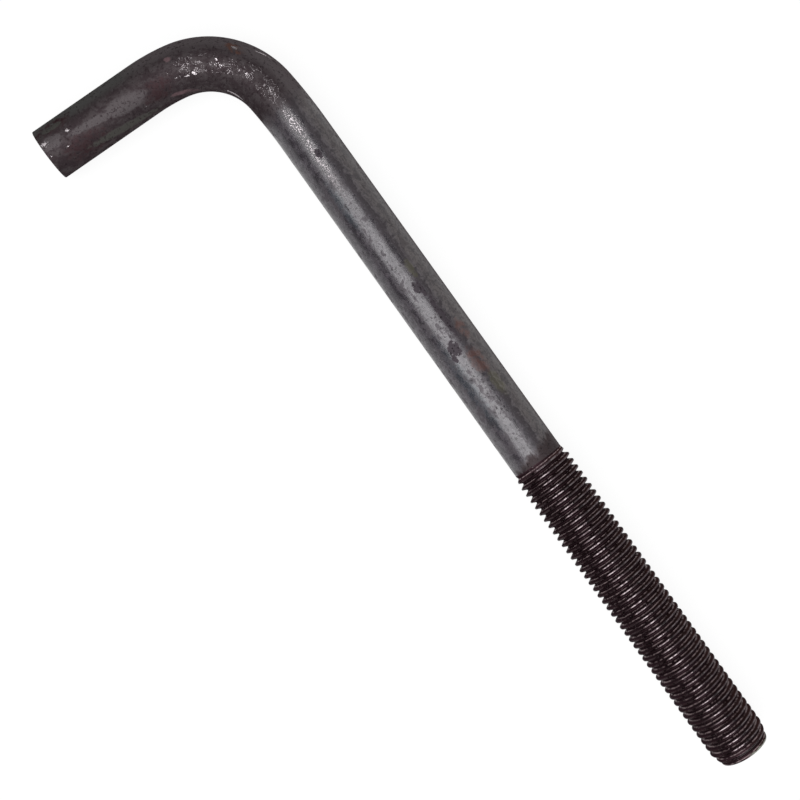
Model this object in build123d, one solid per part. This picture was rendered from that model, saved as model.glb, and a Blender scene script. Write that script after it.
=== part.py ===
from build123d import *
import math
import os

# An L-shaped anchor bolt: one round steel bar, threaded at the free end of its long leg and bent into a hook
# at the other. It lies flat with both legs level: the long leg runs along X with its thread towards +X, the
# hook points along -Y, and the thread touches the ground at Z = 0. All sizes are in millimetres.

# Bar
shank_diameter = 20.0
overall_length = 337.2  # back of the hook to the threaded end
hook_length = 92.5  # back of the long leg to the hook's tip
tip_rounding = 0.3  # blunted edge round the cut tip

# Bend: the bar's centreline turns through three tangent arcs, a tight heel between two slack ones
bend_angle = 90.0
heel_radius = 30.3
shank_slack_radius = 203.0
shank_slack_angle = 5.7
hook_slack_radius = 73.3
hook_slack_angle = 10.8

# Rolled right-hand thread, 7/8 inch
thread_diameter = 22.2
turns_per_inch = 9
thread_depth = 1.73
thread_length = 128.8  # from the end face to where the last ridge sinks into the shank
first_crest = 0.7  # from the end face to the first crest, along the outer side of the long leg
ridge_runout = 4.2  # length over which the last ridge rises from the shank
groove_runout = 1.4  # length over which the last groove is cut
end_face_diameter = 19.2
end_chamfer_length = 5.0

INCH = 25.4
FULL_TURN = 360.0
SPARE_TURNS = 2  # turns of the screw past each end of the thread, which are trimmed off

shank_radius = shank_diameter / 2
crest_radius = thread_diameter / 2
root_radius = crest_radius - thread_depth
end_face_radius = end_face_diameter / 2
thread_pitch = INCH / turns_per_inch
core_radius = root_radius - thread_depth / 2  # inside every groove
clear_radius = crest_radius + thread_depth / 2  # outside every ridge


def helix(radius, height):
    """One turn of a right-hand helix about Z, starting over +X at this height."""
    return Edge.make_helix(thread_pitch, thread_pitch, radius, center=(0, 0, height)).edge()


def thread_turn(height):
    """The two flanks of one turn, from a crest down to the root and up to the next crest."""
    crest = helix(crest_radius, height)
    root = helix(root_radius, height + thread_pitch / 2)
    next_crest = helix(crest_radius, height + thread_pitch)
    return [Face.make_surface_from_curves(crest, root), Face.make_surface_from_curves(root, next_crest)]


def thread_closure(height):
    """A spiral floor and an upright wall over +X, which close a stack of turns at this height."""
    foot = (0, 0, height)
    head = (0, 0, height + thread_pitch)
    crest = (crest_radius, 0, height)
    root = (root_radius, 0, height + thread_pitch / 2)
    next_crest = (crest_radius, 0, height + thread_pitch)
    floor = Face.make_surface_from_curves(Edge.make_line(foot, head), helix(crest_radius, height))
    wall = Face(Wire.make_polygon([foot, crest, root, next_crest, head]))
    return [floor, wall]


def long_screw():
    """A closed screw about Z that runs past both ends of the thread, with a crest at first_crest over +X."""
    turns = math.ceil(thread_length / thread_pitch) + 2 * SPARE_TURNS
    bottom = first_crest - SPARE_TURNS * thread_pitch
    faces = thread_closure(bottom) + thread_closure(bottom + turns * thread_pitch)
    for turn in range(turns):
        faces += thread_turn(bottom + turn * thread_pitch)
    return Solid(Shell(faces))


def turned(outline):
    """The solid turned from an outline of (radius, height) points about Z."""
    profile = Face(Wire.make_polygon([(radius, 0, height) for radius, height in outline]))
    return Solid.revolve(profile, FULL_TURN, Axis.Z)


def cone_height(radius, start, end):
    """Where the cone through two (radius, height) points has this radius."""
    share = (radius - start[0]) / (end[0] - start[0])
    return start[1] + share * (end[1] - start[1])


def long_leg(straight_length):
    """The long leg along Z: chamfered end face at Z = 0, thread, and plain bar up to straight_length."""
    face_edge = (end_face_radius, 0)
    chamfer_edge = (crest_radius, end_chamfer_length)
    full_ridge = (crest_radius, thread_length - ridge_runout)
    last_ridge = (shank_radius, thread_length)
    sunk_ridge = (root_radius, cone_height(root_radius, full_ridge, last_ridge))
    room_for_ridges = [
        (0, 0),
        face_edge,
        (clear_radius, cone_height(clear_radius, face_edge, chamfer_edge)),
        (clear_radius, cone_height(clear_radius, full_ridge, last_ridge)),
        sunk_ridge,
        (0, sunk_ridge[1]),
    ]
    last_groove = (shank_radius, thread_length - thread_pitch / 4)
    full_groove = (root_radius, last_groove[1] - groove_runout)
    buried_end = (core_radius, cone_height(core_radius, full_groove, last_groove))
    plain_bar = [
        (0, buried_end[1]),
        buried_end,
        last_groove,
        (shank_radius, straight_length),
        (0, straight_length),
    ]
    return (long_screw() & turned(room_for_ridges)) + turned(plain_bar)


def bend_arcs():
    """The bend's centreline, from the end of the long leg at the origin, heading -X, round to heading -Y."""
    heel_angle = bend_angle - shank_slack_angle - hook_slack_angle
    arcs = [JernArc((0, 0), (-1, 0), shank_slack_radius, shank_slack_angle)]
    for radius, angle in ((heel_radius, heel_angle), (hook_slack_radius, hook_slack_angle)):
        arcs.append(JernArc(arcs[-1] @ 1, arcs[-1] % 1, radius, angle))
    return arcs


def bent_bar(arc):
    """The round bar along one arc of the bend."""
    section = Plane(origin=arc @ 0, z_dir=arc % 0) * Circle(shank_radius)
    turn = (arc % 0).get_angle(arc % 1)
    return revolve(section, Axis(arc.arc_center, (0, 0, 1)), turn)


def hook_leg(root, heading, length):
    """The straight of the hook from its root, with a blunted edge round its cut tip."""
    leg = extrude(Plane(origin=root, z_dir=heading) * Circle(shank_radius), length)
    tip_edge = leg.edges().sort_by(Axis(root, heading))[-1]
    return fillet(tip_edge, tip_rounding)


def anchor_bolt():
    """The whole bolt in its own frame, centred on the middle of its footprint."""
    arcs = bend_arcs()
    bend_end = arcs[-1] @ 1
    hook_heading = arcs[-1] % 1
    threaded_face_x = overall_length / 2
    hook_axis_x = shank_radius - overall_length / 2
    bend_start_x = hook_axis_x - bend_end.X
    leg_axis_y = (hook_length - shank_radius - crest_radius) / 2
    tip_y = leg_axis_y + shank_radius - hook_length
    leg_frame = Plane(
        origin=(threaded_face_x, leg_axis_y, crest_radius),
        x_dir=(0, 1, 0),
        z_dir=(-1, 0, 0),
    )
    bend_frame = Pos(bend_start_x, leg_axis_y, crest_radius)
    bolt = leg_frame.location * long_leg(threaded_face_x - bend_start_x)
    for arc in arcs:
        bolt += bend_frame * bent_bar(arc)
    hook_straight = leg_axis_y + bend_end.Y - tip_y
    return bolt + bend_frame * hook_leg(bend_end, hook_heading, hook_straight)


os.makedirs("parts", exist_ok=True)
export_step(anchor_bolt(), "parts/anchor_bolt.step")
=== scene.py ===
"""An L-shaped anchor bolt of hot-rolled steel bar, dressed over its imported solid."""

import logging
import math
from abc import ABC, abstractmethod
from collections.abc import Callable
from dataclasses import dataclass, field
from enum import Enum

import bmesh
import bpy
from mathutils import Matrix, Vector


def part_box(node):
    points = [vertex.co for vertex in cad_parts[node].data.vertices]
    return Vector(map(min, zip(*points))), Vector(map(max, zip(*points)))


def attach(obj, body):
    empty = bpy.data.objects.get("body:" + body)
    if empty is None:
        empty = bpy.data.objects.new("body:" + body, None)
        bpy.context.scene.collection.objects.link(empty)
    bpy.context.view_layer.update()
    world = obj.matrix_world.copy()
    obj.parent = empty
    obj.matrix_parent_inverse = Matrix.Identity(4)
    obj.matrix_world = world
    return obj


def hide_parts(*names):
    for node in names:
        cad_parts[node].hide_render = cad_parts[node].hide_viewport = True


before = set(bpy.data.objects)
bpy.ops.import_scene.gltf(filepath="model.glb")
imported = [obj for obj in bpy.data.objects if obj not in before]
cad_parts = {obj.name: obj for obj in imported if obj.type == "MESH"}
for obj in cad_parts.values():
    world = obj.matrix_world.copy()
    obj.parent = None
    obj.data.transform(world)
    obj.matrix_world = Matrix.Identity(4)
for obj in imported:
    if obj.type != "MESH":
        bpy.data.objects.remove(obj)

MM = 0.001
INCH = 25.4
UP = Vector((0.0, 0.0, 1.0))
LEG_HEADING = Vector((-1.0, 0.0, 0.0))
HOOK_HEADING = Vector((0.0, -1.0, 0.0))
BAR_PLACE = "bar_place"
LOG = logging.getLogger("anchor_bolt")

Colour = tuple[float, float, float, float]
Span = tuple[float, float]  # the values at which a mask is 0 and 1, or what its 0 and 1 stand for


# ---------------------------------------------------------------- shader expressions


class Field:
    """One value, colour or vector inside a material; arithmetic on it adds Math nodes."""

    def __init__(self, graph: "Graph", socket: bpy.types.NodeSocket) -> None:
        """Wraps an output socket of a graph's node."""
        self.graph = graph
        self.socket = socket

    def math(self, operation: str, *others: "Field | float") -> "Field":
        """Puts this value and others through one Math node.

        Args:
            operation: the Math node's operation.
            others: the node's further inputs.

        Returns:
            The node's value.
        """
        sockets = dict(enumerate((self, *others)))
        return self.graph.add("ShaderNodeMath", {"operation": operation}, sockets)

    def __add__(self, other: "Field | float") -> "Field":
        """This value plus another."""
        return self.math("ADD", other)

    def __sub__(self, other: "Field | float") -> "Field":
        """This value minus another."""
        return self.math("SUBTRACT", other)

    def __mul__(self, other: "Field | float") -> "Field":
        """This value times another."""
        return self.math("MULTIPLY", other)

    def __truediv__(self, other: "Field | float") -> "Field":
        """This value over another."""
        return self.math("DIVIDE", other)

    def __radd__(self, other: float) -> "Field":
        """A number plus this value."""
        return self.graph.number(other) + self

    def __rsub__(self, other: float) -> "Field":
        """A number minus this value."""
        return self.graph.number(other) - self

    def __rmul__(self, other: float) -> "Field":
        """A number times this value."""
        return self.graph.number(other) * self

    def __rtruediv__(self, other: float) -> "Field":
        """A number over this value."""
        return self.graph.number(other) / self

    def higher(self, other: "Field | float") -> "Field":
        """The higher of this value and another."""
        return self.math("MAXIMUM", other)

    def rise(self, start: float, end: float) -> "Field":
        """A smooth step on this value.

        Args:
            start: the value that gives 0.
            end: the value that gives 1; it may be the lower of the two.

        Returns:
            The step, from 0 to 1.
        """
        low, high = sorted((start, end))
        settings = {"interpolation_type": "SMOOTHSTEP"}
        sockets = {"Value": self, "From Min": low, "From Max": high}
        step = self.graph.add("ShaderNodeMapRange", settings, sockets)
        return step if start < end else 1.0 - step

    def swing(self, reach: float) -> "Field":
        """This cloudy value, which swings about 0.5, made to swing this far about 0."""
        return (self - 0.5) * reach


class Graph:
    """The node tree of one material or world."""

    def __init__(self, tree: bpy.types.NodeTree) -> None:
        """Empties the tree, ready for new nodes."""
        self.tree = tree
        tree.nodes.clear()

    def add(
        self,
        kind: str,
        settings: dict[str, object] | None = None,
        sockets: dict[int | str, object] | None = None,
        output: int | str = 0,
    ) -> Field:
        """Adds one node.

        Args:
            kind: the node's type.
            settings: its properties.
            sockets: its inputs, each a Field to link or a plain value.
            output: the output to give back.

        Returns:
            That output as a Field, or the first input of a node without outputs.
        """
        node = self.tree.nodes.new(kind)
        for name, value in (settings or {}).items():
            setattr(node, name, value)
        for key, value in (sockets or {}).items():
            if isinstance(value, Field):
                self.tree.links.new(value.socket, node.inputs[key])
            else:
                node.inputs[key].default_value = value
        return Field(self, node.outputs[output] if node.outputs else node.inputs[0])

    def number(self, value: float) -> Field:
        """Adds a plain number.

        Args:
            value: the number.

        Returns:
            The number as a Field.
        """
        made = self.add("ShaderNodeValue")
        made.socket.default_value = value
        return made

    def part(self, vector: Field, axis: int) -> Field:
        """One component of a vector."""
        return self.add("ShaderNodeSeparateXYZ", None, {0: vector}, axis)

    def mix(self, share: Field, one: Field | Colour, other: Field | Colour) -> Field:
        """One colour where share is 0 and the other where it is 1."""
        return self.add("ShaderNodeMix", {"data_type": "RGBA"}, {0: share, 6: one, 7: other}, 2)

    def layered(self, colour: Field, *layers: tuple[Field, Field | Colour]) -> Field:
        """Lays further colours over a first one, in order.

        Args:
            colour: the first colour.
            layers: each further colour's share, and the colour.

        Returns:
            What shows in the end.
        """
        for share, over in layers:
            colour = self.mix(share, colour, over)
        return colour

    def blend(self, share: Field, one: Field | float, other: Field | float) -> Field:
        """One number where share is 0 and the other where it is 1."""
        return self.add("ShaderNodeMix", {"data_type": "FLOAT"}, {0: share, 2: one, 3: other})

    def bump(self, height: Field) -> Field:
        """The surface's facing, bent by a relief whose height is in millimetres."""
        return self.add("ShaderNodeBump", None, {"Strength": 1.0, "Distance": MM, "Height": height})


def make_material(name: str, surface: Callable[[Graph], Field]) -> bpy.types.Material:
    """Makes a material.

    Args:
        name: what it is called.
        surface: adds its shader to its nodes.

    Returns:
        The new material.
    """
    material = bpy.data.materials.new(name)
    material.use_nodes = True
    graph = Graph(material.node_tree)
    graph.add("ShaderNodeOutputMaterial", None, {"Surface": surface(graph)})
    return material


def make_object(name: str, mesh: bmesh.types.BMesh) -> bpy.types.Object:
    """Puts a finished mesh into the scene.

    Args:
        name: what the object and its mesh are called.
        mesh: the mesh, which is freed.

    Returns:
        The new object.
    """
    data = bpy.data.meshes.new(name)
    mesh.to_mesh(data)
    mesh.free()
    made = bpy.data.objects.new(name, data)
    bpy.context.scene.collection.objects.link(made)
    return made


def grey(level: float) -> Colour:
    """A neutral colour of one linear level."""
    return (level, level, level, 1.0)


def paint(red: int, green: int, blue: int) -> Colour:
    """Makes a linear colour from its screen values.

    Args:
        red: how red it is, from 0 to 255.
        green: how green it is, from 0 to 255.
        blue: how blue it is, from 0 to 255.

    Returns:
        The colour, with an alpha of 1.
    """

    def linear(value: int) -> float:
        """One screen value as a linear level."""
        share = value / 255.0
        return share / 12.92 if share <= 0.04045 else ((share + 0.055) / 1.055) ** 2.4

    return (linear(red), linear(green), linear(blue), 1.0)


# ---------------------------------------------------------------- the bar's path


@dataclass(frozen=True)
class Run(ABC):
    """A stretch of the bar, in millimetres; along is how much of the bar comes before it."""

    start: Vector
    heading: Vector
    along: float
    length: float

    @property
    @abstractmethod
    def end(self) -> Vector:
        """Where the stretch ends."""

    @abstractmethod
    def motion(self, steps: int) -> dict[str, object]:
        """The spin operator's centre, stride and angle for a sweep in this many steps."""

    @abstractmethod
    def place(self, point: Vector) -> Vector:
        """The point's distance along the bar, outward and up."""

    def holds(self, point: Vector) -> bool:
        """Whether the point lies beside this stretch or past its end."""
        return (point - self.start).dot(self.heading) >= 0.0

    def sweep(self, mesh: bmesh.types.BMesh, ring: list, ring_gap: float) -> list:
        """Draws a ring along the stretch.

        Args:
            mesh: the mesh it is part of.
            ring: the ring's vertices and edges.
            ring_gap: the widest spacing of the rings it leaves.

        Returns:
            The last ring's vertices and edges.
        """
        steps = math.ceil(self.length / ring_gap)
        spun = bmesh.ops.spin(mesh, geom=ring, axis=UP, steps=steps, **self.motion(steps))
        return spun["geom_last"]


@dataclass(frozen=True)
class StraightRun(Run):
    """A straight stretch of the bar."""

    @property
    def end(self) -> Vector:
        """Where the stretch ends."""
        return self.start + self.heading * self.length

    def motion(self, steps: int) -> dict[str, object]:
        """A slide along the stretch."""
        return {"cent": self.start, "dvec": self.heading * (self.length / steps), "angle": 0.0}

    def place(self, point: Vector) -> Vector:
        """Finds a point's place beside the stretch.

        Args:
            point: the point.

        Returns:
            Its distance along the bar, outward and up.
        """
        away = point - self.start
        outward = self.heading.cross(UP)
        return Vector((self.along + away.dot(self.heading), away.dot(outward), away.z))


@dataclass(frozen=True)
class ArcRun(Run):
    """A stretch of the bar bent to the left on one radius."""

    radius: float

    @property
    def angle(self) -> float:
        """How far the stretch turns, in radians."""
        return self.length / self.radius

    @property
    def centre(self) -> Vector:
        """The middle of the bend."""
        return self.start + UP.cross(self.heading) * self.radius

    @property
    def end(self) -> Vector:
        """Where the stretch ends."""
        return self.centre + Matrix.Rotation(self.angle, 3, "Z") @ (self.start - self.centre)

    @property
    def end_heading(self) -> Vector:
        """Which way it points there."""
        return Matrix.Rotation(self.angle, 3, "Z") @ self.heading

    def motion(self, steps: int) -> dict[str, object]:
        """A turn about the middle of the bend."""
        return {"cent": self.centre, "dvec": (0.0, 0.0, 0.0), "angle": self.angle}

    def place(self, point: Vector) -> Vector:
        """Finds a point's place round the bend.

        Args:
            point: the point.

        Returns:
            Its distance along the bar, outward and up.
        """
        arm = self.start - self.centre
        away = point - self.centre
        flat = away.to_2d()
        turned = arm.to_2d().angle_signed(flat)
        return Vector((self.along - self.radius * turned, flat.length - self.radius, away.z))


# ---------------------------------------------------------------- the bolt


@dataclass(frozen=True)
class Thread:
    """The rolled thread's sizes, in millimetres, measured from the end face."""

    crest_radius: float = 11.1
    depth: float = 1.73
    turns_per_inch: int = 9
    length: float = 128.8
    first_crest: float = 0.7
    crest_flat: float = 0.5
    crest_lean: float = 0.2
    root_flat: float = 0.5
    rounding: float = 0.1
    ridge_runout: float = 4.2
    groove_runout: float = 1.4
    end_face_radius: float = 9.6
    chamfer_length: float = 5.0
    steps_per_turn: int = 96
    spare_turns: int = 2

    @property
    def pitch(self) -> float:
        """The distance from one crest to the next."""
        return INCH / self.turns_per_inch

    @property
    def root_radius(self) -> float:
        """The radius at the bottom of the groove."""
        return self.crest_radius - self.depth

    def ceiling(self, height: float, shank_radius: float) -> float:
        """Finds the surface that cuts the crests: the end's chamfer and the ridge's run-out.

        Args:
            height: how far from the end face.
            shank_radius: the plain bar's radius.

        Returns:
            The largest radius there.
        """
        chamfer = (self.crest_radius - self.end_face_radius) / self.chamfer_length
        fade = (self.crest_radius - shank_radius) / self.ridge_runout
        cut_end = self.end_face_radius + chamfer * height
        sunk_end = shank_radius + max(0.0, fade * (self.length - height))
        return min(cut_end, sunk_end)

    def floor(self, height: float, shank_radius: float) -> float:
        """Finds the surface that fills the last groove, from a quarter pitch before the end.

        Args:
            height: how far from the end face.
            shank_radius: the plain bar's radius.

        Returns:
            The smallest radius there.
        """
        groove_end = self.length - self.pitch / 4
        past = (height - groove_end) / self.groove_runout
        return shank_radius + min(0.0, past * (shank_radius - self.root_radius))


@dataclass
class AnchorBolt:
    """The whole bolt, in millimetres: one bar, threaded at one end and hooked at the other."""

    shank_radius: float = 10.0
    bend_angle: float = 90.0
    heel_radius: float = 30.3
    shank_slack_radius: float = 203.0
    shank_slack_angle: float = 5.7
    hook_slack_radius: float = 73.3
    hook_slack_angle: float = 10.8
    tip_rounding: float = 0.3
    ring_gap: float = 1.6  # between the plain bar's rings
    weld_gap: float = 0.01  # points nearer each other than this become one
    weld_width: float = 0.4  # between the thread's last ring and the plain bar's first
    cut_gap: float = 0.0001  # points nearer a cutting plane than this lie on it
    smooth_corners: int = 4  # a face with more corners is a flat end
    thread: Thread = field(default_factory=Thread)

    def __post_init__(self) -> None:
        """Lays out the bar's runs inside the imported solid's box."""
        low, high = (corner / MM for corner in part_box("anchor_bolt"))
        crest = self.thread.crest_radius
        self.end_face = Vector((high.x, high.y - crest, crest))
        bend_reach = -self.bend_arcs(Vector(), 0.0)[-1].end.x
        leg_length = self.end_face.x - (low.x + self.shank_radius + bend_reach)
        leg = StraightRun(self.end_face, LEG_HEADING, 0.0, leg_length)
        arcs = self.bend_arcs(leg.end, leg_length)
        bend_end = arcs[-1].end
        hook_start = arcs[-1].along + arcs[-1].length
        hook = StraightRun(bend_end, HOOK_HEADING, hook_start, bend_end.y - low.y)
        self.runs = [leg, *arcs, hook]
        tip = hook.along + hook.length
        LOG.info("the bend starts %.1f mm along and the tip lies %.1f mm along", leg_length, tip)

    def bend_arcs(self, start: Vector, along: float) -> list[ArcRun]:
        """The bend's three arcs, a tight heel between two slack ones.

        Args:
            start: where the long leg ends and the bend starts.
            along: the bar's length up to there.

        Returns:
            The arcs in order from the long leg to the hook.
        """
        heel_angle = self.bend_angle - self.shank_slack_angle - self.hook_slack_angle
        sizes = [
            (self.shank_slack_radius, self.shank_slack_angle),
            (self.heel_radius, heel_angle),
            (self.hook_slack_radius, self.hook_slack_angle),
        ]
        heading = LEG_HEADING
        arcs = []
        for radius, angle in sizes:
            arc = ArcRun(start, heading, along, radius * math.radians(angle), radius)
            arcs.append(arc)
            start, heading, along = arc.end, arc.end_heading, along + arc.length
        return arcs

    def thread_profile(self, mesh: bmesh.types.BMesh) -> list:
        """Draws one pitch of the thread from crest to crest, on the outward side of the end.

        Args:
            mesh: the mesh to draw it in.

        Returns:
            Its vertices and edges.
        """
        thread = self.thread
        crest = thread.crest_radius
        root = thread.root_radius
        half = thread.pitch / 2
        outline = [
            (0.0, crest),
            (thread.crest_flat / 2 - thread.crest_lean, crest),
            (half - thread.root_flat / 2, root),
            (half + thread.root_flat / 2, root),
            (thread.pitch - thread.crest_flat / 2 - thread.crest_lean, crest),
            (thread.pitch, crest),
        ]
        bottom = thread.first_crest - thread.spare_turns * thread.pitch
        verts = [
            mesh.verts.new(self.end_face + Vector((-bottom - height, radius, 0.0)))
            for height, radius in outline
        ]
        for one, other in zip(verts, verts[1:]):
            mesh.edges.new((one, other))
        bmesh.ops.bevel(
            mesh,
            geom=verts[1:-1],
            offset=thread.rounding,
            offset_type="OFFSET",
            segments=2,
            profile=0.5,
            affect="VERTICES",
            material=-1,
        )
        return mesh.verts[:] + mesh.edges[:]

    def roll_thread(self, mesh: bmesh.types.BMesh) -> None:
        """Turns the profile into the whole thread, with its chamfer and its fading last turn.

        Args:
            mesh: the empty mesh to draw it in.
        """
        thread = self.thread
        bmesh.ops.spin(
            mesh,
            geom=self.thread_profile(mesh),
            cent=self.end_face,
            axis=LEG_HEADING,
            dvec=LEG_HEADING * (thread.pitch / thread.steps_per_turn),
            angle=math.tau,
            steps=thread.steps_per_turn,
        )
        first_turn = mesh.verts[:] + mesh.edges[:] + mesh.faces[:]
        turns = math.ceil(thread.length / thread.pitch) + 2 * thread.spare_turns
        for turn in range(1, turns):
            copied = bmesh.ops.duplicate(mesh, geom=first_turn)["geom"]
            verts = [part for part in copied if isinstance(part, bmesh.types.BMVert)]
            bmesh.ops.translate(mesh, vec=LEG_HEADING * (turn * thread.pitch), verts=verts)
        bmesh.ops.remove_doubles(mesh, verts=mesh.verts[:], dist=self.weld_gap)
        for vert in mesh.verts:
            self.trim(vert)

    def trim(self, vert: bmesh.types.BMVert) -> None:
        """Moves a point of the thread in or out to the surfaces that end the thread.

        Args:
            vert: the point's vertex.
        """
        height = self.end_face.x - vert.co.x
        arm = vert.co - self.end_face
        arm.x = 0.0
        lowest = self.thread.floor(height, self.shank_radius)
        highest = self.thread.ceiling(height, self.shank_radius)
        arm.length = min(max(arm.length, lowest), highest)
        vert.co = Vector((vert.co.x, self.end_face.y + arm.y, self.end_face.z + arm.z))

    def cut(self, mesh: bmesh.types.BMesh, x: float, keep: float) -> list:
        """Cuts the mesh off at a plane square to the long leg.

        Args:
            mesh: the mesh to cut.
            x: where the plane stands.
            keep: -1 to keep what lies below x, and 1 to keep what lies above it.

        Returns:
            The cut's vertices and edges.
        """
        cut = bmesh.ops.bisect_plane(
            mesh,
            geom=mesh.verts[:] + mesh.edges[:] + mesh.faces[:],
            dist=self.cut_gap,
            plane_co=(x, 0.0, 0.0),
            plane_no=(-keep, 0.0, 0.0),
            clear_outer=True,
        )
        return cut["geom_cut"]

    def close_end(self, mesh: bmesh.types.BMesh, ring: list, rounding: float) -> None:
        """Closes an end of the bar with a flat face.

        Args:
            mesh: the mesh it is part of.
            ring: the end ring's vertices and edges.
            rounding: the radius of the face's edge, or 0 for a sharp one.
        """
        edges = [part for part in ring if isinstance(part, bmesh.types.BMEdge)]
        bmesh.ops.edgeloop_fill(mesh, edges=edges)
        if rounding:
            bmesh.ops.bevel(
                mesh,
                geom=edges,
                offset=rounding,
                offset_type="OFFSET",
                segments=3,
                profile=0.5,
                affect="EDGES",
                material=-1,
            )

    def draw_bar(self, mesh: bmesh.types.BMesh) -> None:
        """Draws the plain bar from the thread's end round the bend to the hook's tip.

        Args:
            mesh: the empty mesh to draw it in.
        """
        leg = self.runs[0]
        thread_end = self.thread.length + self.weld_width
        shank_start = leg.start + leg.heading * thread_end
        shank = StraightRun(shank_start, leg.heading, thread_end, leg.length - thread_end)
        upright = Matrix.Translation(shank.start) @ Matrix.Rotation(math.tau / 4, 4, "Y")
        circle = bmesh.ops.create_circle(
            mesh, segments=self.thread.steps_per_turn, radius=self.shank_radius, matrix=upright
        )
        ring = circle["verts"] + mesh.edges[:]
        for run in (shank, *self.runs[1:]):
            ring = run.sweep(mesh, ring, self.ring_gap)
        self.close_end(mesh, ring, self.tip_rounding)

    def draw_thread(self, mesh: bmesh.types.BMesh) -> None:
        """Draws the threaded end, closed at the end face and open towards the bar.

        Args:
            mesh: the bolt's mesh, which the finished thread is added to.
        """
        apart = bmesh.new()
        self.roll_thread(apart)
        self.close_end(apart, self.cut(apart, self.end_face.x, -1.0), 0.0)
        self.cut(apart, self.end_face.x - self.thread.length, 1.0)
        carried = bpy.data.meshes.new("thread")
        apart.to_mesh(carried)
        apart.free()
        mesh.from_mesh(carried)
        bpy.data.meshes.remove(carried)

    def build(self) -> bpy.types.Object:
        """Builds the bolt as one closed mesh in metres.

        Returns:
            The new object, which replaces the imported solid.
        """
        mesh = bmesh.new()
        self.draw_bar(mesh)
        self.draw_thread(mesh)
        open_edges = [edge for edge in mesh.edges if edge.is_boundary]
        bmesh.ops.bridge_loops(mesh, edges=open_edges)
        bmesh.ops.remove_doubles(mesh, verts=mesh.verts[:], dist=self.weld_gap)
        bmesh.ops.recalc_face_normals(mesh, faces=mesh.faces[:])
        self.note_places(mesh)
        bmesh.ops.scale(mesh, vec=(MM, MM, MM), verts=mesh.verts[:])
        self.share_finishes(mesh)
        return make_object("bolt_steel", mesh)

    def share_finishes(self, mesh: bmesh.types.BMesh) -> None:
        """Gives the thread the second finish, and shades all but the two end faces smooth.

        Args:
            mesh: the bolt's mesh, in metres.
        """
        thread_end = (self.end_face.x - self.thread.length) * MM
        for face in mesh.faces:
            face.smooth = len(face.verts) <= self.smooth_corners
            face.material_index = int(face.calc_center_median().x > thread_end)

    def note_places(self, mesh: bmesh.types.BMesh) -> None:
        """Notes each vertex's distance along the bar, outward and up, for the finish to follow.

        Args:
            mesh: the bolt's mesh, in millimetres.
        """
        layer = mesh.verts.layers.float_vector.new(BAR_PLACE)
        for vert in mesh.verts:
            vert[layer] = self.run_at(vert.co).place(vert.co)

    def run_at(self, point: Vector) -> Run:
        """Finds the run of the bar that a point lies on.

        Args:
            point: the point, in millimetres.

        Returns:
            The last run whose start the point has passed.
        """
        beside = self.runs[0]
        for run in self.runs[1:]:
            if not run.holds(point):
                break
            beside = run
        return beside


# ---------------------------------------------------------------- marks on the bar


@dataclass(frozen=True)
class Noise:
    """A cloudy pattern: its clouds' spacing in millimetres, and how far they are drawn out."""

    size: float
    detail: float
    roughness: float
    distortion: float = 0.0
    drawn_out: float = 1.0


@dataclass(frozen=True)
class Patch:
    """A spot on the bar, in millimetres: along it, and round it from the top, outward positive."""

    along: float
    around: float
    length: float
    width: float
    slant: float = 0.0


@dataclass(frozen=True)
class Spots:
    """Ragged spots, whose edges stray by a share of their size and fade softly."""

    raggedness: float
    softness: float
    patches: tuple[Patch, ...]
    strength: float = 1.0


@dataclass(frozen=True)
class Chips:
    """Small sharp chips that crowd in some patches; the limit is how rare they are elsewhere."""

    crowding: float
    limit: float
    patches: tuple[Patch, ...]
    strength: float = 1.0


@dataclass(frozen=True)
class Streak:
    """A line along the bar, in millimetres: a point that it passes through, and its slope."""

    around: float
    along: float
    slope: float


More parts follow.
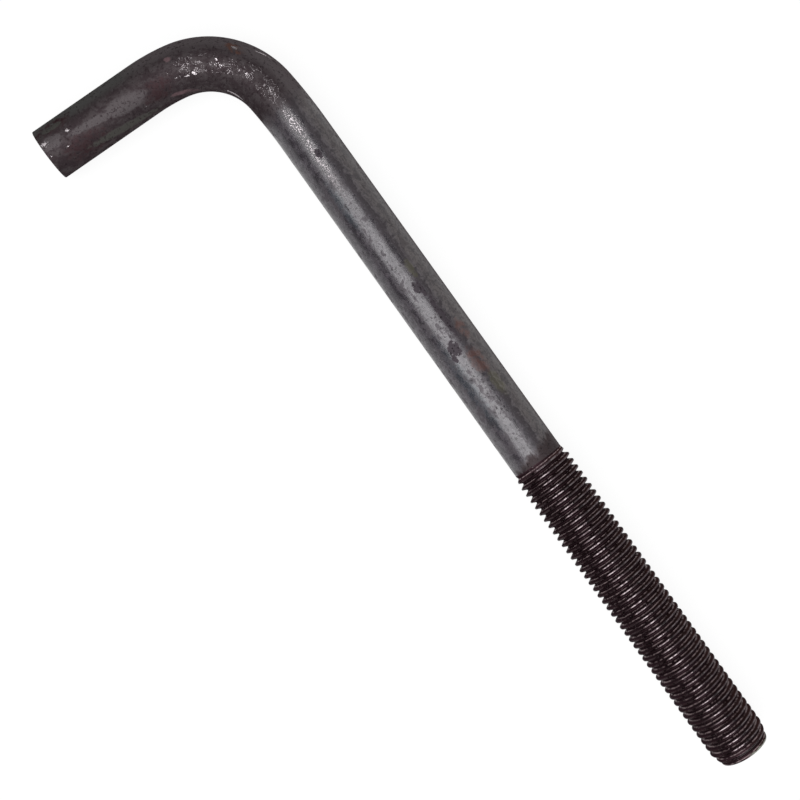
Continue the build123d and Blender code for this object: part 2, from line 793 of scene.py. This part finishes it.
class BarSurface:
    """The bar's own coordinates inside a material, in millimetres, and marks laid by them."""

    EDGE_NOISE = Noise(1.7, 3.0, 0.6)
    CHIP_NOISE = Noise(0.9, 4.0, 0.7, 2.0)
    CHIP_EDGE = 0.03
    SPOTS_END = -3.0  # the nearness far from all spots
    CROWD_END = -1.0  # the nearness far from all chips

    def __init__(self, graph: Graph, radius: float) -> None:
        """Reads each point's place on the bar.

        Args:
            graph: the material's nodes.
            radius: the radius at which the way round the bar is measured.
        """
        self.graph = graph
        self.place = graph.add("ShaderNodeAttribute", {"attribute_name": BAR_PLACE}, None, "Vector")
        self.along = graph.part(self.place, 0)
        outward = graph.part(self.place, 1)
        up = graph.part(self.place, 2)
        self.radius = (outward * outward + up * up).math("SQRT")
        self.around = outward.math("ARCTAN2", up) * radius
        self.edge_noise = self.noise(self.EDGE_NOISE)
        self.chip_noise = self.noise(self.CHIP_NOISE)

    def noise(self, kind: Noise) -> Field:
        """Adds a cloudy pattern.

        Args:
            kind: the pattern.

        Returns:
            Its value at each point, which swings about 0.5.
        """
        squeeze = (1.0 / kind.drawn_out, 1.0, 1.0)
        settings = {"operation": "MULTIPLY"}
        place = self.graph.add("ShaderNodeVectorMath", settings, {0: self.place, 1: squeeze})
        sockets = {
            "Vector": place,
            "Scale": 1.0 / kind.size,
            "Detail": kind.detail,
            "Roughness": kind.roughness,
            "Distortion": kind.distortion,
        }
        return self.graph.add("ShaderNodeTexNoise", None, sockets)

    def nearness(self, patches: tuple[Patch, ...], least: float) -> Field:
        """How deep a point lies in any of several patches.

        Args:
            patches: where they are and how large.
            least: the value far outside them all.

        Returns:
            1 in the middle of a patch, 0 at its edge, and less outside it.
        """
        nearest = None
        for patch in patches:
            down = self.along - patch.along
            over = (self.around - patch.around - down * patch.slant) / (patch.width / 2)
            down = down / (patch.length / 2)
            near = 1.0 - (down * down + over * over)
            nearest = near if nearest is None else nearest.higher(near)
        return nearest.higher(least)

    def crowd(self, patches: tuple[Patch, ...]) -> Field:
        """How thickly small marks gather about several patches, from 1 down to -1."""
        return self.nearness(patches, self.CROWD_END)

    def spots(self, kind: Spots) -> Field:
        """Adds ragged spots.

        Args:
            kind: the spots.

        Returns:
            Their strength on any of them, and 0 away from them.
        """
        stray = self.edge_noise.swing(2 * kind.raggedness)
        near = self.nearness(kind.patches, self.SPOTS_END) + stray
        return near.rise(-kind.softness, kind.softness) * kind.strength

    def chips(self, kind: Chips) -> Field:
        """The chips' strength on any of them, and 0 between them."""
        crowded = self.chip_noise + self.crowd(kind.patches) * kind.crowding
        return crowded.rise(kind.limit, kind.limit + self.CHIP_EDGE) * kind.strength

    def past(self, streak: Streak) -> Field:
        """How far a point lies outward of a streak, in millimetres."""
        return self.around - (self.along - streak.along) * streak.slope - streak.around


# ---------------------------------------------------------------- the bar's finish


@dataclass(frozen=True)
class ScaleMarks:
    """The patterns and masks that both kinds of scale follow, and the relief they share."""

    grain: Field
    drawn: Field
    mottle: Field
    tone: Field
    outer: Field
    stray: Field
    pits: Field
    flake: Field
    rust: Field
    shine: Field
    bare: Field
    bump: Field


@dataclass(frozen=True)
class SmoothScale:
    """Blue-grey scale as rolled: glossy on top, dull and darkened by painted shade along a band,
    scuffed by the thread.
    """

    light: Colour = paint(68, 62, 69)
    dark: Colour = paint(44, 39, 45)
    outer_light: Colour = paint(77, 70, 69)
    outer_dark: Colour = paint(46, 39, 42)
    flaked: Colour = paint(74, 68, 73)
    # the colour of the dull clouds, and of the painted shade band beside the glossy top
    clouded_and_shaded: Colour = paint(53, 47, 51)
    scuff: Colour = paint(64, 54, 55)
    rust: Colour = paint(76, 51, 48)
    pit: Colour = paint(26, 21, 25)
    blued: Colour = paint(58, 66, 73)
    oily: Colour = paint(74, 71, 56)
    pale: Colour = paint(94, 88, 94)
    refraction: float = 1.75
    bluish: Spots = Spots(
        raggedness=1.2,
        softness=0.9,
        patches=(Patch(166.0, -5.8, 36.0, 4.6), Patch(246.0, -5.2, 20.0, 3.4)),
        strength=0.5,
    )
    oiled: Spots = Spots(
        raggedness=1.2,
        softness=0.7,
        patches=(Patch(161.0, 4.0, 10.0, 3.8), Patch(213.0, 2.2, 8.0, 2.4)),
        strength=0.7,
    )
    # painted shade: a dark dull band along the bar, just outward of the glossy top, where the
    # lamps' reflections leave a gap
    shade_band: Streak = Streak(2.3, 248.0, -0.006)
    shade_band_stray: float = 1.4
    shade_band_reach: Span = (1.6, 0.6)
    shade_band_by_pits: Span = (0.9, 0.5)
    shade_band_share: float = 0.9
    cloud_reach: Span = (0.5, 0.58)
    cloud_share: float = 0.6
    scuff_reach: Span = (134.5, 131.0)
    scuff_slant: float = 0.3
    scuff_stray: float = 9.0
    scuff_by_mottle: Span = (0.6, 1.2)
    pit_share: float = 0.6
    pale_reach: Span = (0.52, 0.7)
    pale_share: float = 0.5
    gloss_edge: Streak = Streak(0.9, 190.0, 0.012)
    gloss_reach: Span = (-0.2, 0.2)
    unpolished_dullness: float = 0.3
    roughness: Span = (0.28, 0.7)
    shine_gloss: float = 0.06
    pit_roughness: float = 0.2
    grain_roughness: float = 0.35
    scuff_metal: float = 0.85
    cloud_metal: float = 0.75
    dark_metal: float = 0.3

    def scuffed(self, bar: BarSurface, marks: ScaleMarks) -> Field:
        """1 on the scuffed end by the thread, whose edge slants and strays."""
        edge = bar.along - bar.around * self.scuff_slant + marks.drawn.swing(self.scuff_stray)
        return edge.rise(*self.scuff_reach)

    def clouds(self, bar: BarSurface, marks: ScaleMarks) -> Field:
        """Adds the dull clouds in the scale, and the band of painted shade along the bar.

        Args:
            bar: the bar's coordinates.
            marks: the bar's marks.

        Returns:
            How dull and dark the flakes, the painted shade band along the bar and the clouds make
            each point.
        """
        # the band of painted shade, with ragged edges
        across = (bar.past(self.shade_band) + marks.stray * self.shade_band_stray).math("ABSOLUTE")
        shade_band = across.rise(*self.shade_band_reach) * bar.graph.blend(marks.pits, *self.shade_band_by_pits)
        clouds = ((marks.drawn + marks.mottle) * 0.5).rise(*self.cloud_reach) * self.cloud_share
        return marks.flake.higher(shade_band * self.shade_band_share).higher(clouds)

    def shader(self, bar: BarSurface, marks: ScaleMarks) -> Field:
        """Adds the scale's shader.

        Args:
            bar: the bar's coordinates.
            marks: the bar's marks.

        Returns:
            The shader.
        """
        graph = bar.graph
        scuffed = self.scuffed(bar, marks)
        clouds = self.clouds(bar, marks)
        colour = graph.layered(
            graph.mix(marks.tone, self.dark, self.light),
            (marks.outer, graph.mix(marks.tone, self.outer_dark, self.outer_light)),
            (bar.spots(self.bluish), self.blued),
            (clouds, self.clouded_and_shaded),
            (bar.spots(self.oiled), self.oily),
            (marks.flake, self.flaked),
            (scuffed * graph.blend(marks.mottle, *self.scuff_by_mottle), self.scuff),
            (marks.pits * self.pit_share, self.pit),
            (marks.grain.rise(*self.pale_reach) * self.pale_share, self.pale),
            (marks.rust, self.rust),
        )
        unpolished = (bar.past(self.gloss_edge) + marks.stray).rise(*self.gloss_reach)
        dull = (unpolished * self.unpolished_dullness).higher(clouds)
        dull = dull.higher(scuffed).higher(marks.rust)
        rough = graph.blend(dull, *self.roughness) - marks.shine * self.shine_gloss
        rough = rough + marks.pits * self.pit_roughness + marks.grain.swing(self.grain_roughness)
        metal = (clouds * self.cloud_metal).higher((1.0 - marks.tone) * self.dark_metal)
        metal = marks.flake.higher(scuffed * self.scuff_metal).higher(metal * (1.0 - marks.shine))
        sockets = {
            "Base Color": colour,
            "Roughness": rough,
            "Metallic": metal,
            "IOR": self.refraction,
            "Normal": marks.bump,
        }
        return graph.add("ShaderNodeBsdfPrincipled", None, sockets)


@dataclass(frozen=True)
class BurntScale:
    """Dull brown scale where the bar was heated and bent, with worn and coloured spots; the worn
    grey on the hook is also a painted highlight.
    """

    light: Colour = paint(82, 75, 77)
    dark: Colour = paint(66, 57, 60)
    bend_outer: Colour = paint(104, 97, 99)
    hook_outer: Colour = paint(92, 91, 90)
    maroon: Colour = paint(70, 53, 56)
    worn_grey_and_highlight: Colour = paint(98, 92, 94)
    olive: Colour = paint(88, 86, 83)
    pink: Colour = paint(118, 97, 101)
    rust: Colour = paint(104, 76, 67)
    pit: Colour = paint(46, 38, 41)
    bare: Colour = paint(192, 185, 188)
    dark_edge: Colour = grey(0.25)
    hook_reach: Span = (345.0, 360.0)
    reddish: Spots = Spots(
        raggedness=1.6,
        softness=0.7,
        patches=(
            Patch(388.0, 4.8, 14.0, 6.0), Patch(381.0, -8.5, 18.0, 10.0),
            Patch(347.0, -6.6, 13.0, 8.0),
        ),
    )
    reddish_reach: Span = (0.38, 0.58)
    dull_olive: Spots = Spots(
        raggedness=1.0,
        softness=0.4,
        patches=(Patch(366.0, -11.8, 28.0, 3.4, 0.12), Patch(388.0, 4.5, 8.0, 2.4)),
    )
    # worn grey patches on the hook and its tip, which also paint the hook's highlight
    worn_highlight_spots: Spots = Spots(
        raggedness=0.9,
        softness=0.4,
        patches=(
            Patch(373.5, -3.2, 22.0, 3.0, 0.12), Patch(361.0, -4.2, 17.0, 6.4, 0.1),
            Patch(391.0, -0.6, 8.0, 5.0),
        ),
    )
    worn_highlight_reach: Span = (0.32, 0.5)
    pinkish: Spots = Spots(
        raggedness=1.2,
        softness=0.6,
        patches=(Patch(339.0, 1.5, 2.4, 2.0), Patch(337.0, -13.0, 13.0, 2.2, 0.2)),
    )
    pink_reach: Span = (0.3, 0.6)
    pit_share: float = 0.7
    grain_reach: Span = (0.52, 0.7)
    grain_share: float = 0.4
    roughness: float = 0.72
    grain_roughness: float = 0.4
    bare_roughness: float = 0.42

    def shader(self, bar: BarSurface, marks: ScaleMarks) -> Field:
        """Adds the scale's shader, with bare steel where it is chipped.

        Args:
            bar: the bar's coordinates.
            marks: the bar's marks.

        Returns:
            The shader.
        """
        graph = bar.graph
        hook = bar.along.rise(*self.hook_reach)
        colour = graph.layered(
            graph.mix(marks.tone, self.dark, self.light),
            (marks.outer, graph.mix(hook, self.bend_outer, self.hook_outer)),
            (bar.spots(self.reddish) * marks.mottle.rise(*self.reddish_reach), self.maroon),
            (bar.spots(self.dull_olive), self.olive),
            # worn grey, also a painted highlight on the hook
            (bar.spots(self.worn_highlight_spots) * marks.grain.rise(*self.worn_highlight_reach), self.worn_grey_and_highlight),
            (marks.pits * self.pit_share, self.pit),
            (marks.grain.rise(*self.grain_reach) * self.grain_share, self.worn_grey_and_highlight),
            (marks.rust, self.rust),
            (bar.spots(self.pinkish) * marks.drawn.rise(*self.pink_reach), self.pink),
            (marks.bare, self.bare),
        )
        scaly_roughness = self.roughness + marks.grain.swing(self.grain_roughness)
        sockets = {
            "Base Color": colour,
            "Roughness": graph.blend(marks.bare, scaly_roughness, self.bare_roughness),
            "Metallic": 1.0,
            "Specular Tint": self.dark_edge,
            "Normal": marks.bump,
        }
        return graph.add("ShaderNodeBsdfPrincipled", None, sockets)


@dataclass(frozen=True)
class MillScale:
    """Hot-rolled bar: smooth scale on the leg, burnt scale on bend and hook, and bare chips."""

    name: str = "mill_scale"
    bar_radius: float = 10.0
    smooth: SmoothScale = SmoothScale()
    burnt: BurntScale = BurntScale()
    grain: Noise = Noise(0.5, 3.0, 0.7)
    drawn: Noise = Noise(2.2, 4.0, 0.6, drawn_out=3.0)
    swells: Noise = Noise(9.0, 3.0, 0.55, drawn_out=2.0)
    mottle: Noise = Noise(3.2, 5.0, 0.68, 0.6)
    pits: Noise = Noise(1.1, 4.0, 0.7)
    pit_reach: Span = (0.56, 0.62)
    mottle_tone: float = 0.6
    tone_reach: Span = (0.44, 0.57)
    mottle_stray: float = 5.0
    drawn_stray: float = 3.0
    outer_reach: Span = (1.5, 6.0)
    burnt_reach: Span = (282.0, 294.0)
    burnt_stray: float = 16.0
    # painted shade: the burnt scale is laid along the bar's outer side to dim its rim reflection
    shaded_side_reach: Span = (9.0, 12.5)
    shaded_side_stray: float = 0.4
    shaded_side_share: float = 0.85
    flakes: Spots = Spots(
        raggedness=1.8,
        softness=0.3,
        patches=(
            Patch(180.0, -2.2, 6.4, 4.4), Patch(177.0, -4.0, 3.6, 2.0),
            Patch(178.0, -1.2, 3.4, 2.2), Patch(206.0, -0.5, 4.6, 2.4),
            Patch(267.0, -0.9, 3.6, 2.6), Patch(205.0, 1.0, 8.0, 2.0),
            Patch(192.0, 1.6, 20.0, 2.4),
        ),
    )
    rusty: Spots = Spots(
        raggedness=1.4,
        softness=0.7,
        patches=(
            Patch(171.5, 2.7, 11.0, 5.4), Patch(184.5, 5.0, 8.0, 4.0),
            Patch(315.8, 4.6, 6.0, 3.6, 0.2),
        ),
    )
    rust_reach: Span = (0.36, 0.56)
    sparkling: tuple[Patch, ...] = (
        Patch(281.0, -1.6, 18.0, 5.4), Patch(263.0, -1.8, 48.0, 4.2),
    )
    shine_edge: Span = (-0.7, 0.6)
    shine_reach: Span = (232.0, 272.0)
    sparkle_crowding: float = 0.14
    sparkle_reach: Span = (0.58, 0.68)
    scratched: Spots = Spots(
        raggedness=0.6,
        softness=0.15,
        patches=(Patch(325.0, -3.0, 34.0, 7.0), Patch(300.0, -1.0, 24.0, 7.0)),
        strength=0.6,
    )
    scratches: Noise = Noise(4.0, 3.0, 0.6, 0.5)
    scratch_width: Span = (0.022, 0.008)
    scratch_reach: Span = (0.48, 0.56)
    bend_chips: Chips = Chips(
        crowding=0.25,
        limit=0.77,
        patches=(
            Patch(333.5, -6.4, 3.4, 1.6), Patch(325.5, -5.6, 2.6, 1.8),
            Patch(335.0, 0.3, 3.0, 2.6), Patch(327.0, 0.2, 5.0, 1.6),
            Patch(338.0, -6.0, 8.0, 1.6), Patch(320.0, -3.2, 16.0, 2.6),
            Patch(307.0, -2.6, 12.0, 3.4), Patch(296.0, -1.0, 12.0, 5.0),
            Patch(286.5, -1.8, 7.0, 5.0), Patch(307.0, 8.8, 9.0, 1.6, -0.4),
            Patch(315.5, 5.3, 3.4, 1.4),
        ),
    )
    hook_chips: Chips = Chips(
        crowding=0.3,
        limit=0.79,
        patches=(
            Patch(393.0, 0.4, 5.0, 4.0), Patch(383.5, -0.3, 3.2, 3.2),
            Patch(387.0, -4.9, 3.4, 1.5), Patch(393.8, -4.6, 1.4, 1.4),
            Patch(355.0, -9.4, 1.4, 1.4),
        ),
        strength=0.8,
    )
    broad_chips: Chips = Chips(
        crowding=0.32,
        limit=0.7,
        patches=(
            Patch(310.0, -13.4, 16.0, 1.6, 0.05), Patch(330.6, -6.2, 3.0, 2.0, 0.3),
            Patch(334.0, -6.6, 4.0, 0.8, 0.1), Patch(316.0, 4.9, 3.0, 1.4, 0.2),
            Patch(308.0, 8.6, 6.0, 1.1, -0.4), Patch(321.0, -1.4, 1.6, 1.0, 0.5),
            Patch(393.6, 0.4, 3.0, 2.4), Patch(383.6, -0.2, 2.4, 1.2, 0.4),
        ),
    )
    grain_relief: float = 0.016
    drawn_relief: float = 0.03
    swell_relief: float = 0.1
    bare_depth: float = 0.04
    pit_depth: float = 0.01

    def scratch(self, bar: BarSurface, grain: Field) -> Field:
        """Thin broken scratches over the bend."""
        line = bar.noise(self.scratches).swing(1.0).math("ABSOLUTE").rise(*self.scratch_width)
        return line * bar.spots(self.scratched) * grain.rise(*self.scratch_reach)

    def marks(self, bar: BarSurface) -> ScaleMarks:
        """Adds the patterns and masks that the scale follows.

        Args:
            bar: the bar's coordinates.

        Returns:
            The bar's marks.
        """
        grain, drawn, mottle = (bar.noise(kind) for kind in (self.grain, self.drawn, self.mottle))
        pits = bar.noise(self.pits).rise(*self.pit_reach)
        flake = bar.spots(self.flakes)
        crowd = bar.crowd(self.sparkling)
        shine = crowd.rise(*self.shine_edge) * bar.along.rise(*self.shine_reach) * (1.0 - flake)
        sparkle = (grain + crowd * self.sparkle_crowding).rise(*self.sparkle_reach) * shine
        bare = bar.chips(self.bend_chips).higher(bar.chips(self.hook_chips)).higher(sparkle)
        bare = bare.higher(bar.chips(self.broad_chips)).higher(self.scratch(bar, grain))
        raised = grain * self.grain_relief + drawn * self.drawn_relief
        raised = raised + bar.noise(self.swells) * self.swell_relief
        tone = mottle * self.mottle_tone + drawn * (1.0 - self.mottle_tone)
        return ScaleMarks(
            grain=grain,
            drawn=drawn,
            mottle=mottle,
            tone=tone.rise(*self.tone_reach),
            outer=bar.around.rise(*self.outer_reach),
            stray=mottle.swing(self.mottle_stray) + drawn.swing(self.drawn_stray),
            pits=pits,
            flake=flake,
            rust=bar.spots(self.rusty) * mottle.rise(*self.rust_reach),
            shine=shine,
            bare=bare,
            bump=bar.graph.bump(raised - bare * self.bare_depth - pits * self.pit_depth),
        )

    def steel(self, graph: Graph) -> Field:
        """Adds the finish's shaders.

        Args:
            graph: the material's nodes.

        Returns:
            The smooth scale, with the burnt one on bend, hook and chips, and on the outer side as
            painted shade that dims its bright rim.
        """
        bar = BarSurface(graph, self.bar_radius)
        marks = self.marks(bar)
        burnt = (bar.along + marks.mottle.swing(self.burnt_stray)).rise(*self.burnt_reach)
        # painted shade on the outer side, which takes the burnt scale
        shaded_side = (bar.around + marks.stray * self.shaded_side_stray).rise(*self.shaded_side_reach) * self.shaded_side_share
        sockets = {
            0: burnt.higher(marks.bare).higher(shaded_side),
            1: self.smooth.shader(bar, marks),
            2: self.burnt.shader(bar, marks),
        }
        return graph.add("ShaderNodeMixShader", None, sockets)

    def build(self) -> bpy.types.Material:
        """Makes the material."""
        return make_material(self.name, self.steel)


# ---------------------------------------------------------------- the thread's finish


@dataclass(frozen=True)
class Line:
    """A soft line along the thread: how far past a crest it runs, and how wide, in pitches."""

    place: float
    width: float

    def on(self, turns: Field) -> Field:
        """1 along the line and 0 away from it, where turns counts the pitches past a crest."""
        off = (turns + (0.5 - self.place)).math("FRACT") - 0.5
        return off.math("ABSOLUTE").rise(self.width / 2, self.width / 6)


@dataclass(frozen=True)
class RolledThread:
    """The rolled thread: greasy grooves with painted shade along the roots, crests darkened by
    painted shade towards the sides, and short bright rubs along the crests.
    """

    name: str = "rolled_thread"
    bar_radius: float = 10.0
    thread: Thread = field(default_factory=Thread)
    # the colour of the grease clouds, and of the painted shade along the thread's roots
    grease_and_root_shade: Colour = paint(40, 27, 31)
    flank: Colour = paint(56, 40, 45)
    outer_flank: Colour = paint(58, 39, 38)
    edge: Colour = paint(124, 108, 109)
    crest: Colour = paint(86, 74, 77)
    # painted shade: the darker crests towards the sides of the thread
    shaded_side_crest: Colour = paint(46, 34, 36)
    sawn: Colour = paint(42, 41, 38)
    worn_rim: Colour = paint(124, 125, 116)
    rub: Colour = paint(116, 107, 109)
    dark_edge: Colour = grey(0.45)
    refraction: float = 1.6
    grain: Noise = Noise(0.5, 3.0, 0.6)
    clouds: Noise = Noise(5.0, 3.0, 0.55)
    rubbing: Noise = Noise(1.8, 3.0, 0.65)
    edge_wear: Noise = Noise(2.0, 4.0, 0.65)
    first_crest_turn: float = 0.25  # how far round from the top the first crest is measured
    line_stray: float = 0.12
    crest_line: Line = Line(0.9, 0.36)
    crest_reach: Span = (0.36, 0.52)
    crest_by_rubbing: Span = (0.65, 1.0)
    edge_line: Line = Line(0.28, 0.16)
    # painted shade along the roots of the thread
    edge_reach: Span = (0.38, 0.58)
    root_shade_line: Line = Line(0.48, 0.3)
    rub_reach: Span = (0.46, 0.56)
    end_reach: Span = (16.0, 4.0)
    end_rubbing: float = 0.06
    bead_reach: Span = (0.64, 0.68)
    bead_share: float = 0.8
    outer_reach: Span = (-2.0, 6.0)
    grease_reach: Span = (0.4, 0.6)
    grease_share: float = 0.4
    shaded_inner_side: Span = (-3.0, -4.6)
    shaded_outer_side: Span = (3.0, 6.0)
    shaded_outer_side_share: float = 0.35
    face_depth: Span = (0.06, 0.02)
    rim_stray: float = 1.6
    rim_depth: Span = (0.7, 0.35)
    rim_radius: Span = (8.9, 9.4)
    rim_start: Span = (-2.0, 2.0)
    rim_end: Span = (22.0, 16.0)
    roughness: float = 0.6
    crest_roughness: float = 0.28
    rub_roughness: float = 0.13
    grain_roughness: float = 0.2
    crest_metal_loss: float = 0.5
    grain_relief: float = 0.012
    cloud_relief: float = 0.04
    rub_relief: float = 0.05

    def turns(self, bar: BarSurface, clouds: Field) -> Field:
        """Counts the pitches from the first crest to each point.

        Args:
            bar: the bar's coordinates.
            clouds: the pattern by which the count strays a little.

        Returns:
            The count, which is a whole number on a crest.
        """
        turns = (bar.along - self.thread.first_crest) / self.thread.pitch
        turns = turns - bar.around / (math.tau * self.bar_radius) + self.first_crest_turn
        return turns + clouds.swing(self.line_stray)

    def rim(self, bar: BarSurface, rubbing: Field) -> Field:
        """Adds the worn rim of the end face.

        Args:
            bar: the bar's coordinates.
            rubbing: the pattern by which its depth strays.

        Returns:
            1 on the rim and 0 off it.
        """
        depth = (bar.along + rubbing.swing(self.rim_stray)).rise(*self.rim_depth)
        stretch = bar.around.rise(*self.rim_start) * bar.around.rise(*self.rim_end)
        return depth * bar.radius.rise(*self.rim_radius) * stretch

    def steel(self, graph: Graph) -> Field:
        """Adds the finish's shader.

        Args:
            graph: the material's nodes.

        Returns:
            The shader.
        """
        bar = BarSurface(graph, self.bar_radius)
        kinds = (self.grain, self.clouds, self.rubbing)
        grain, clouds, rubbing = (bar.noise(kind) for kind in kinds)
        turns = self.turns(bar, clouds)
        worn = graph.blend(rubbing.rise(*self.crest_reach), *self.crest_by_rubbing)
        crest = self.crest_line.on(turns) * worn
        edge = self.edge_line.on(turns) * bar.noise(self.edge_wear).rise(*self.edge_reach)
        end = bar.along.rise(*self.end_reach) * self.end_rubbing
        rub = crest * (rubbing + end).rise(*self.rub_reach)
        bead = bar.chip_noise.rise(*self.bead_reach) * self.bead_share
        rim = self.rim(bar, rubbing)
        # painted shade: towards both sides, most on the inner one, the crests darken and lose their
        # bright rubs
        shaded_outer_side = bar.around.rise(*self.shaded_outer_side) * self.shaded_outer_side_share
        shaded_side = bar.around.rise(*self.shaded_inner_side).higher(shaded_outer_side)
        colour = graph.layered(
            graph.mix(bar.around.rise(*self.outer_reach), self.flank, self.outer_flank),
            (clouds.rise(*self.grease_reach) * self.grease_share, self.grease_and_root_shade),
            (crest, graph.mix(shaded_side, self.crest, self.shaded_side_crest)),
            (rub * (1.0 - shaded_side), self.rub),
            # painted shade along the roots
            (self.root_shade_line.on(turns), self.grease_and_root_shade),
            (edge, self.edge),
            (bead, self.rub),
            (bar.along.rise(*self.face_depth), self.sawn),
            (rim, self.worn_rim),
        )
        rough = graph.blend(crest, self.roughness, self.crest_roughness)
        rough = graph.blend(rub, rough, self.rub_roughness) + grain.swing(self.grain_roughness)
        raised = grain * self.grain_relief + clouds * self.cloud_relief
        raised = raised + rubbing * crest * self.rub_relief
        masked = edge.higher((crest - rub) * self.crest_metal_loss).higher(rim).higher(bead)
        sockets = {
            "Base Color": colour,
            "Roughness": rough,
            "Metallic": 1.0 - masked,
            "Specular Tint": self.dark_edge,
            "IOR": self.refraction,
            "Normal": graph.bump(raised),
        }
        return graph.add("ShaderNodeBsdfPrincipled", None, sockets)

    def build(self) -> bpy.types.Material:
        """Makes the material."""
        return make_material(self.name, self.steel)


# ---------------------------------------------------------------- the studio


class Ray(Enum):
    """The rays that see the floor and the backdrop as plain white."""

    CAMERA = "Is Camera Ray"
    GLOSSY = "Is Glossy Ray"
    TRANSMISSION = "Is Transmission Ray"


@dataclass(frozen=True)
class Softbox:
    """A square-cornered lamp that hangs over the bolt, in metres."""

    name: str
    place: tuple[float, float, float]
    aim: tuple[float, float, float]
    width: float
    depth: float
    radiance: float

    def hang(self) -> None:
        """Adds the lamp."""
        lamp = bpy.data.lights.new(self.name, "AREA")
        lamp.shape = "RECTANGLE"
        lamp.size = self.width
        lamp.size_y = self.depth
        lamp.energy = self.radiance * math.pi * self.width * self.depth
        holder = bpy.data.objects.new(self.name, lamp)
        towards = Vector(self.aim) - Vector(self.place)
        turn = towards.to_track_quat("-Z", "Y").to_matrix().to_4x4()
        holder.matrix_world = Matrix.Translation(self.place) @ turn
        bpy.context.scene.collection.objects.link(holder)


@dataclass(frozen=True)
class Studio:
    """The pale floor, the lamps and the camera, in metres."""

    floor_size: float = 6.0
    floor_lit: float = 0.8
    floor_seen: float = 0.1
    floor_glow: float = 0.9
    room_light: float = 0.15
    softboxes: tuple[Softbox, ...] = (
        Softbox("key_softbox", (0.3, -0.57, 1.2), (0.3, -0.57, 0.0), 1.6, 1.42, 4.2),
        Softbox("side_panel", (0.0, 1.1, 0.62), (0.0, 0.0, 0.0), 1.6, 1.0, 0.75),
    )
    camera_place: tuple[float, float, float] = (0.0091, -0.0059, 0.4327)
    camera_forward: tuple[float, float, float] = (-0.04024, 0.03098, -0.99871)
    camera_up: tuple[float, float, float] = (-0.81462, 0.57777, 0.05074)
    camera_lens: float = 51.305
    camera_sensor: float = 36.0
    camera_nearest: float = 0.01

    def white_rays(self, graph: Graph) -> Field:
        """Tells the rays apart.

        Args:
            graph: the nodes of what they meet.

        Returns:
            1 for the rays that see plain white, and 0 for those that carry light.
        """
        seen = None
        for ray in Ray:
            one = graph.add("ShaderNodeLightPath", None, None, ray.value)
            seen = one if seen is None else seen.higher(one)
        return seen

    def floor_paper(self, graph: Graph) -> Field:
        """Adds the floor's shader.

        Args:
            graph: the material's nodes.

        Returns:
            The shader, white in view and pale to the light.
        """
        lit = graph.add("ShaderNodeBsdfDiffuse", None, {"Color": grey(self.floor_lit)})
        shaded = graph.add("ShaderNodeBsdfDiffuse", None, {"Color": grey(self.floor_seen)})
        sockets = {"Color": grey(1.0), "Strength": self.floor_glow}
        glow = graph.add("ShaderNodeEmission", None, sockets)
        white = graph.add("ShaderNodeAddShader", None, {0: shaded, 1: glow})
        return graph.add("ShaderNodeMixShader", None, {0: self.white_rays(graph), 1: lit, 2: white})

    def lay_floor(self) -> None:
        """Adds the floor, which keeps the bolt's shadow."""
        mesh = bmesh.new()
        bmesh.ops.create_grid(mesh, x_segments=1, y_segments=1, size=self.floor_size / 2)
        floor = make_object("floor", mesh)
        floor.data.materials.append(make_material("floor_paper", self.floor_paper))

    def light(self) -> None:
        """Adds the lamps and the room's dim light."""
        for softbox in self.softboxes:
            softbox.hang()
        world = bpy.data.worlds.new("room")
        world.use_nodes = True
        bpy.context.scene.world = world
        graph = Graph(world.node_tree)
        seen = graph.add("ShaderNodeLightPath", None, None, Ray.CAMERA.value)
        level = graph.blend(seen, self.room_light, 1.0)
        sky = graph.add("ShaderNodeBackground", None, {"Color": grey(1.0), "Strength": level})
        graph.add("ShaderNodeOutputWorld", None, {"Surface": sky})

    def set_camera(self) -> None:
        """Stands the camera over the bolt, looking almost straight down."""
        lens = bpy.data.cameras.new("camera")
        lens.lens = self.camera_lens
        lens.sensor_width = self.camera_sensor
        lens.clip_start = self.camera_nearest
        camera = bpy.data.objects.new("camera", lens)
        back = -Vector(self.camera_forward).normalized()
        right = Vector(self.camera_up).cross(back).normalized()
        turn = Matrix((right, back.cross(right), back)).transposed().to_4x4()
        camera.matrix_world = Matrix.Translation(self.camera_place) @ turn
        bpy.context.scene.collection.objects.link(camera)
        bpy.context.scene.camera = camera

    def set_up(self) -> None:
        """Adds everything round the bolt."""
        bpy.context.scene.view_settings.view_transform = "Standard"
        self.set_camera()
        self.lay_floor()
        self.light()


def main() -> None:
    """Builds and dresses the bolt and its studio."""
    logging.basicConfig(level=logging.INFO, format="%(name)s: %(message)s")
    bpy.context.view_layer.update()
    Studio().set_up()
    bolt = AnchorBolt().build()
    for finish in (MillScale(), RolledThread()):
        bolt.data.materials.append(finish.build())
    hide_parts("anchor_bolt")
    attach(bolt, "root")
    LOG.info("%s has %d faces", bolt.name, len(bolt.data.polygons))


if __name__ == "__main__":
    main()
